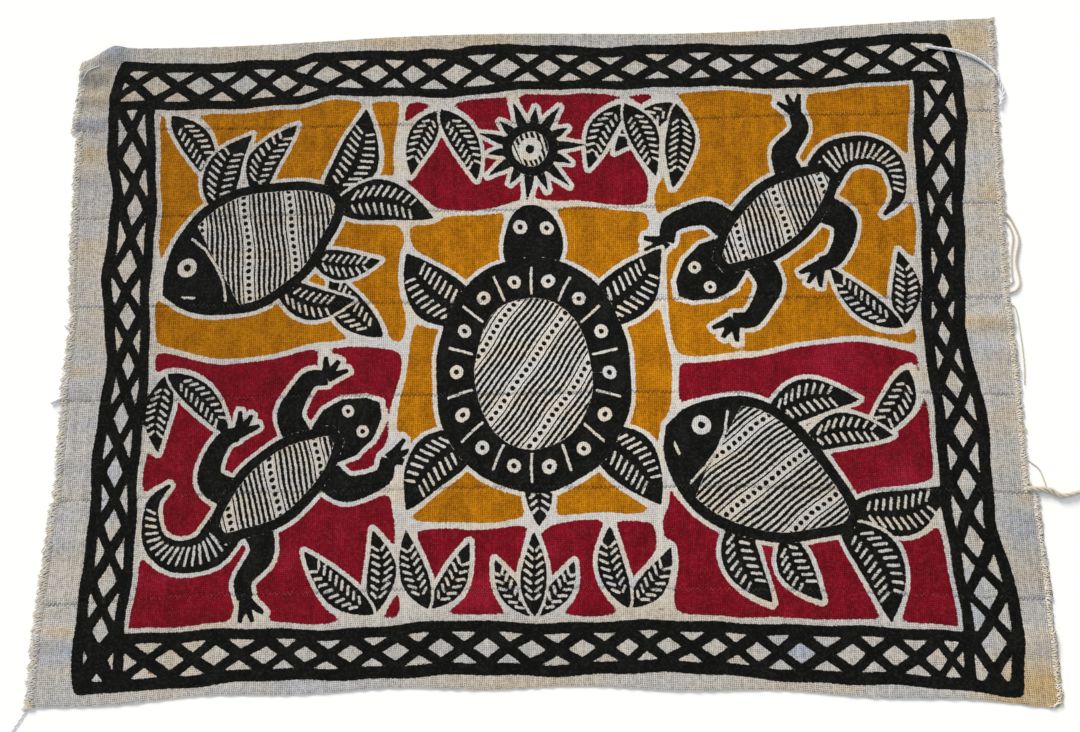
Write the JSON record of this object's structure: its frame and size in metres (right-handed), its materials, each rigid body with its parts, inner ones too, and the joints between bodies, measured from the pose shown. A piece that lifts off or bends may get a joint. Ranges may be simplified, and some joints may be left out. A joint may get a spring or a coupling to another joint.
{
  "type": "korhogo cloth",
  "caption": "Hand-painted cotton wall cloth of narrow woven strips sewn edge to edge, with frayed cut ends, lying flat face up.",
  "frame": {"origin": "on the surface that the cloth lies on, under the middle of its outline", "axes": "+X along the woven strips to the cloth's right, +Y up the cloth, +Z out of its painted face"},
  "size_m": [1.3066, 0.9132, 0.0114],
  "materials": {
    "painted_cotton": "matte coarse hand-woven cotton, painted on its face",
    "frayed_cotton": "matte frayed hand-spun cotton warp"
  },
  "bodies": {
    "root": {"strip_1": "painted_cotton", "strip_2": "painted_cotton", "strip_3": "painted_cotton", "strip_4": "painted_cotton", "strip_5": "painted_cotton", "strip_6": "painted_cotton", "strip_7": "painted_cotton", "fringe_left_1": "frayed_cotton", "fringe_right_1": "frayed_cotton", "fringe_left_2": "frayed_cotton", "fringe_right_2": "frayed_cotton", "fringe_left_3": "frayed_cotton", "fringe_right_3": "frayed_cotton", "fringe_left_4": "frayed_cotton", "fringe_right_4": "frayed_cotton", "fringe_left_5": "frayed_cotton", "fringe_right_5": "frayed_cotton", "fringe_left_6": "frayed_cotton", "fringe_right_6": "frayed_cotton", "fringe_left_7": "frayed_cotton", "fringe_right_7": "frayed_cotton"}
  },
  "joints": []
}
